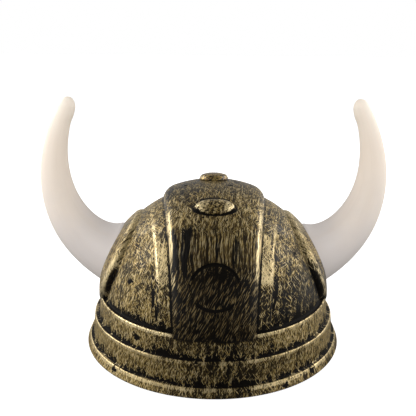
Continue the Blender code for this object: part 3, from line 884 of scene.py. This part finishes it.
    # Painted reflection of the side lights on the strips, put in as extra, paler gold low on the arch.
    glare = past_band.hump(1.6, STRIP_WIDTH / MM - 0.8, 0.8) * on_dome * arch_low.hump(42.0, 84.0, 5.0)
    glare = glare * (1.0 - arch_low.rise(56.0, 80.0) * 0.6 * (1.0 - x.rise(*TO_RIGHT) * 0.6))
    cover -= less_gold_right_front * 0.24
    cover += glare * (0.10 + broad.rise(*BROAD_STROKES) * 0.20 + x.rise(*TO_RIGHT) * 0.10)
    cover += (1.0 - on_dome) * (side.rise(15.0, 60.0) * 0.08 - 0.04)
    cover += on_band * (along.rise(78.0, 90.0) - along.rise(120.0, 130.0)) * 0.06
    cover -= on_band * along.rise(40.0, 70.0) * 0.02
    cover -= z.fall(6.0, 8.0) * x.rise(20.0, 70.0) * 0.15
    cover += z.fall(23.0, 25.0) * (-x).rise(5.0, 45.0) * 0.09
    cover += edges * 0.30
    cover -= unpainted_and_shadow * 0.95
    cover -= (-x).rise(2.0, 24.0) * along.rise(96.0, 108.0) * on_band * 0.07
    cover -= (-x).rise(24.0, 40.0) * above_seat.rise(20.0, 44.0) * on_dome * 0.05
    level = 0.52 + (0.5 - cover) * 0.36
    soft = above_seat.rise(30.0, 84.0) * 0.045 + 0.038
    paint = (stroke - level).rise(-soft, soft)
    film = cover.rise(0.2, 0.9) * 0.10 * dabs.rise(0.3, 0.6)
    paint = (paint + film).clipped() * (1.0 - unpainted_and_shadow * 0.9)

    fine = blended(on_dome.most(on_band), dashes(wall, 12.0, 0.34, 1.6, 71.0),
                   dashes(arch, 12.0, 0.34, 2.6, 75.0))
    tone = fine * 0.7 + stroke * 0.3
    gold = mixed(tone.rise(0.40, 0.53), colours.olive, colours.gold)
    gold = mixed(tone.rise(0.51, 0.62) * 0.8, gold, colours.worn_and_highlight)
    gold = mixed(thin.most(in_disc * 0.74), gold, colours.dull)
    # Paint wearing light on the edges, the painted highlights and the painted reflection on the strips take
    # the pale gold.
    wear_and_glare = edges.most(glare * (0.4 + broad.rise(*BROAD_STROKES) * 0.3 + x.rise(*TO_RIGHT) * 0.2))
    gold = mixed((wear_and_glare * stroke.rise(0.42, 0.54)).clipped(), gold, colours.worn_and_highlight)
    wash = mixed(cover.rise(0.24, 0.58) * (1.0 - on_boss * 0.6) * (1.0 - unpainted_and_shadow), colours.base, colours.wash)
    feed(shader, Base_Color=mixed(paint, wash, gold),
         Metallic=paint * (0.72 + edges * 0.2),
         Roughness=blended(paint, 0.28 + dabs * 0.06 + unpainted_and_shadow * 0.35, 0.46 + dabs * 0.10 - edges * 0.24),
         Coat_Weight=(1.0 - unpainted_and_shadow * 0.95) * (0.03 + above_seat.rise(0.0, 50.0) * 0.09),
         Normal=relief(stroke * 3.0 + dabs, 0.16 * MM, 1.0))
    return material


def bare_black(colours):
    """The unpainted inside of the moulding: satin black with a fine mould grain."""
    material, start, shader = new_material("bare_black_plastic", Specular_IOR_Level=0.4)
    place = place_in_mm(start)
    pits = grain(place, 1.4, 3.0, 0.6)
    clouds = grain(place, 0.06, 3.0, 0.6)
    shade = mixed(clouds.rise(0.3, 0.7), tuple(channel * 1.2 for channel in colours.base),
                  tuple(channel * 2.4 for channel in colours.base))
    feed(shader, Base_Color=shade, Roughness=0.38 + clouds * 0.2 + pits * 0.08,
         Normal=relief(pits, 0.05 * MM, 0.5))
    return material


def horn_white(colours):
    """Satin white plastic, cooler towards the root partly as painted shade, darker on the inner side as
    painted shade, glowing faintly as painted light, with faint lines along its length.
    """
    # Painted light: the horns glow faintly in their own colour, to look lit through the plastic.
    material, start, shader = new_material("horn_white_plastic", Specular_IOR_Level=0.38,
                                           Subsurface_Weight=0.2, Subsurface_Scale=4.0 * MM,
                                           Subsurface_Radius=(1.0, 0.9, 0.8), Emission_Strength=0.12)
    place = place_in_mm(start)
    along = start.node("Attribute", {"attribute_name": "along"}, output="Fac") / MM
    outward = start.node("Attribute", {"attribute_name": "outward"}, output="Fac")
    clouds = grain(place, 0.035, 3.0, 0.55)
    fine = grain(place, 0.8, 3.0, 0.6)
    flow = grain(vector(outward * 5.0, along * 0.012, 3.0), 1.0, 3.0, 0.6)
    # Cooler and greyer towards the root, partly as painted shade.
    root_shade_to_tip = (along + (clouds - 0.5) * 50.0).rise(8.0, 105.0)
    shade = mixed(root_shade_to_tip, colours.horn_root, colours.horn_tip)
    shade = mixed(along.rise(104.0, 142.0) * 0.6, shade, colours.horn_end)
    # Painted shade on each horn's inner side, with a ragged edge, plus faint streaks along the horn.
    inner = (outward + (flow - 0.5) * 0.6).fall(-0.25, 0.30) * along.rise(10.0, 70.0)
    shade = mixed((inner * 0.18 + flow.rise(0.5, 0.7) * 0.10).clipped(), shade, colours.horn_shaded_side)
    feed(shader, Base_Color=shade, Emission_Color=shade, Roughness=0.34 + clouds * 0.12 + fine * 0.05,
         Normal=relief(flow * 1.2 + clouds * 2.0, 0.14 * MM, 0.6))
    return material


def button_brass(colours):
    """Orange gold over black, glossy, with the black showing as fine specks."""
    material, start, shader = new_material("button_brass", Specular_IOR_Level=0.5)
    place = place_in_mm(start)
    specks = grain(place, 0.9, 3.0, 0.65)
    clouds = grain(place, 0.22, 2.0, 0.6)
    paint = (specks + (clouds - 0.5) * 0.5).rise(0.46, 0.56)
    gold = mixed(clouds.rise(0.35, 0.65), colours.brass, colours.gold)
    feed(shader, Base_Color=mixed(paint, colours.base, gold), Metallic=paint * 0.65,
         Roughness=blended(paint, 0.22, 0.30), Normal=relief(paint, 0.06 * MM, 0.6))
    return material


def studio_floor(studio):
    """A pale floor that glows softly to the eye, so that it stays white without lighting the helmet."""
    material, start, shader = new_material("studio_floor", Specular_IOR_Level=0.1, Roughness=0.9,
                                           Emission_Color=(1.0, 1.0, 1.0, 1.0))
    place = start.node("TexCoord", output="Object")
    clouds = grain(place, 3.0, 2.0)
    aside = abs(start.node("SeparateXYZ", None, {0: place}))
    seen = start.node("LightPath", output="Is Camera Ray")
    lighter = tuple(min(1.0, channel * 1.02) for channel in studio.floor)
    pale = mixed(clouds, studio.floor, lighter)
    feed(shader, Base_Color=mixed(seen, studio.bounce, pale),
         Emission_Strength=blended(seen, aside.rise(0.10, 0.45) * studio.side_glow, studio.glow))
    below = start.node("NewGeometry", output="Backfacing")
    clear = start.node("BsdfTransparent")
    surface = start.node("MixShader", None, {0: below, 2: clear})
    start.tree.links.new(shader.outputs[0], surface.socket.node.inputs[1])
    start.tree.links.new(surface.socket, start.tree.nodes["Material Output"].inputs["Surface"])
    return material


# ---- operators

def give_materials(item, *materials):
    item.data.materials.clear()
    for material in materials:
        item.data.materials.append(material)


def finish_piece(item, name, node, slot, sharp_degrees, *materials):
    """Name a piece, give it its materials, and let it stand for its CAD node."""
    item.name = name
    item.data.name = name
    give_materials(item, *materials)
    item.data.shade_smooth()
    item.data.set_sharp_from_angle(angle=radians(sharp_degrees))
    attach(item, "root")
    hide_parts(node)


class HELMET_OT_shell(bpy.types.Operator):
    """Build the hollow shell: dome, centre band, side strips, stepped rim, pads, boss and disc"""
    bl_idname = "helmet.shell"
    bl_label = "Helmet shell"

    def execute(self, context):
        sizes, colours = context.scene.helmet_sizes, context.scene.helmet_colours
        item = shell_form(sizes, 0.0)
        combine(item, boss_form(sizes), "UNION")
        combine(item, disc_cutter(sizes), "DIFFERENCE")
        waved(item, sizes.wave)
        combine(item, shell_form(sizes, sizes.wall), "DIFFERENCE")
        for side in SIDES:
            combine(item, horn_hole(sizes, side), "DIFFERENCE")
        combine(item, button_cutter(sizes), "DIFFERENCE")
        shape = bmesh.new()
        shape.from_mesh(item.data)
        bmesh.ops.remove_doubles(shape, verts=shape.verts, dist=SHELL_WELD)
        bmesh.ops.dissolve_degenerate(shape, edges=shape.edges, dist=SHELL_WELD)
        # The booleans leave many-sided faces, which an export would fold over itself
        bmesh.ops.triangulate(shape, faces=[face for face in shape.faces if len(face.verts) > 4])
        if any(not edge.is_manifold for edge in shape.edges):
            raise RuntimeError("the shell isn't closed")
        shape.to_mesh(item.data)
        shape.free()
        finish_piece(item, "shell", "helmet_shell", "aged_gold_plastic", 38.0,
                     aged_gold(sizes, colours), bare_black(colours))
        return {"FINISHED"}


class HELMET_OT_horns(bpy.types.Operator):
    """Build the two curved hollow horns with their necks and flanges"""
    bl_idname = "helmet.horns"
    bl_label = "Horns"

    def execute(self, context):
        sizes, colours = context.scene.helmet_sizes, context.scene.helmet_colours
        material = horn_white(colours)
        for side, name in ((-1.0, "horn_left"), (1.0, "horn_right")):
            item = object_from(name, horn_shape(sizes, side))
            finish_piece(item, "dressed_" + name, name, "white_plastic", 40.0, material)
        return {"FINISHED"}


class HELMET_OT_button(bpy.types.Operator):
    """Build the crown button: pan head, shank and clinched foot"""
    bl_idname = "helmet.button"
    bl_label = "Crown button"

    def execute(self, context):
        sizes, colours = context.scene.helmet_sizes, context.scene.helmet_colours
        bearing = CLEARANCE - BUTTON_SEAT_DEPTH
        under = -(BUTTON_SEAT_DEPTH + sizes.wall + 2.0 * CLEARANCE)
        top = sizes.button_height
        corners = [(0.0, top, 0.0), (0.45 * BUTTON_RADIUS, top - 0.3 * MM, 8.0 * MM),
                   (0.86 * BUTTON_RADIUS, top - 1.6 * MM, 3.0 * MM),
                   (BUTTON_RADIUS, top - 4.4 * MM, 1.6 * MM), (BUTTON_RADIUS, bearing, 0.3 * MM),
                   (SHANK_RADIUS, bearing, 0.0), (SHANK_RADIUS, under, 0.0),
                   (FOOT_RADIUS, under, 0.3 * MM), (FOOT_RADIUS, under - FOOT_THICKNESS, 0.4 * MM),
                   (0.0, under - FOOT_THICKNESS, 0.0)]
        shape = spun(softened(corners, 6), 96)
        item = on_crown("button", shape, sizes)
        finish_piece(item, "button", "crown_button", "brass_button", 40.0, button_brass(colours))
        return {"FINISHED"}


def area_light(name, power, size, place, aim, only):
    """A rectangular light that falls on some objects only."""
    light = bpy.data.lights.new(name, "AREA")
    light.shape = "RECTANGLE"
    light.size, light.size_y = size
    light.energy = power
    light.color = (1.0, 0.985, 0.96)
    item = in_scene(name, light)
    item.location = place
    item.rotation_euler = (Vector(aim) - Vector(place)).to_track_quat("-Z", "Y").to_euler()
    lit = bpy.data.collections.new(name + "_objects")
    for target in only:
        lit.objects.link(target)
    item.light_linking.receiver_collection = lit


class HELMET_OT_stage(bpy.types.Operator):
    """Set up the plain floor, the soft lights and the camera"""
    bl_idname = "helmet.stage"
    bl_label = "Stage"

    def execute(self, context):
        scene, studio = context.scene, context.scene.helmet_studio
        shape = bmesh.new()
        bmesh.ops.create_grid(shape, x_segments=8, y_segments=8, size=40.0)
        bmesh.ops.translate(shape, vec=(0.0, 0.0, -0.2 * MM), verts=shape.verts)
        floor = object_from("floor", shape)
        if floor.data.polygons[0].normal.z < 0.0:
            floor.data.flip_normals()
        give_materials(floor, studio_floor(studio))

        world = bpy.data.worlds.new("studio")
        world.use_nodes = True
        background = world.node_tree.nodes["Background"]
        background.inputs["Color"].default_value = (1.0, 1.0, 1.0, 1.0)
        start = Signal(world.node_tree)
        seen = start.node("LightPath", output="Is Camera Ray")
        towards = start.node("TexCoord", output="Generated")
        across, back, up = split(towards)
        wall = studio.ambient + back.rise(-0.1, 0.9) * studio.back_wall
        wall = wall + abs(across).rise(0.35, 0.90) * (1.0 - up.rise(0.50, 0.90) * 0.7) * studio.side_wall
        feed(background, Strength=blended(seen, wall, 1.0))
        scene.world = world
        horns = [bpy.data.objects["dressed_horn_" + name] for name in ("left", "right")]
        rest = [item for item in scene.objects if item.type == "MESH" and item not in horns]
        for side, horn in zip(SIDES, horns):
            area_light("side_light", studio.side_light * (0.88 - side * 0.12), (0.90, 0.42),
                       (side * 0.98, 0.42, 0.72), (0.0, 0.0, 0.08), rest + [horn])
        area_light("horn_fill", studio.horn_fill, (2.0, 1.0), (-0.3, -1.5, 0.75), (0.0, 0.0, 0.10), horns)

        camera = in_scene("camera", bpy.data.cameras.new("camera"))
        elevation, distance, aim_height = radians(18.3), 0.5356, 0.0618
        swing, roll = radians(0.85), radians(0.55)
        camera.data.lens = 54.87
        camera.data.shift_x, camera.data.shift_y = -0.0127, 0.1305
        camera.data.clip_start = 0.01
        reach = distance * cos(elevation)
        camera.location = (-reach * sin(swing), -reach * cos(swing),
                           aim_height + distance * sin(elevation))
        camera.rotation_euler = (pi / 2 - elevation, 0.0, -swing)
        camera.rotation_euler.rotate_axis("Z", roll)
        scene.camera = camera
        scene.view_settings.view_transform = "Standard"
        return {"FINISHED"}


class HELMET_PT_panel(bpy.types.Panel):
    """Sidebar panel that lists the helmet's pieces"""
    bl_idname = "HELMET_PT_panel"
    bl_label = "Horned helmet"
    bl_space_type = "VIEW_3D"
    bl_region_type = "UI"
    bl_category = "Helmet"

    def draw(self, context):
        for operator in OPERATORS:
            self.layout.operator(operator.bl_idname)
        for group, kind in GROUPS.items():
            column = self.layout.column(align=True)
            for name in kind.__annotations__:
                column.prop(getattr(context.scene, group), name)


GROUPS = {"helmet_sizes": HelmetSizes, "helmet_colours": HelmetColours, "helmet_studio": StudioSettings}
OPERATORS = (HELMET_OT_shell, HELMET_OT_horns, HELMET_OT_button, HELMET_OT_stage)
CLASSES = (*GROUPS.values(), *OPERATORS, HELMET_PT_panel)


def register():
    for item in CLASSES:
        bpy.utils.register_class(item)
    for name, group in GROUPS.items():
        setattr(bpy.types.Scene, name, bpy.props.PointerProperty(type=group))


def unregister():
    for name in GROUPS:
        delattr(bpy.types.Scene, name)
    for item in reversed(CLASSES):
        bpy.utils.unregister_class(item)


def main():
    register()
    bpy.ops.helmet.shell()
    bpy.ops.helmet.horns()
    bpy.ops.helmet.button()
    bpy.ops.helmet.stage()


if __name__ == "__main__":
    main()
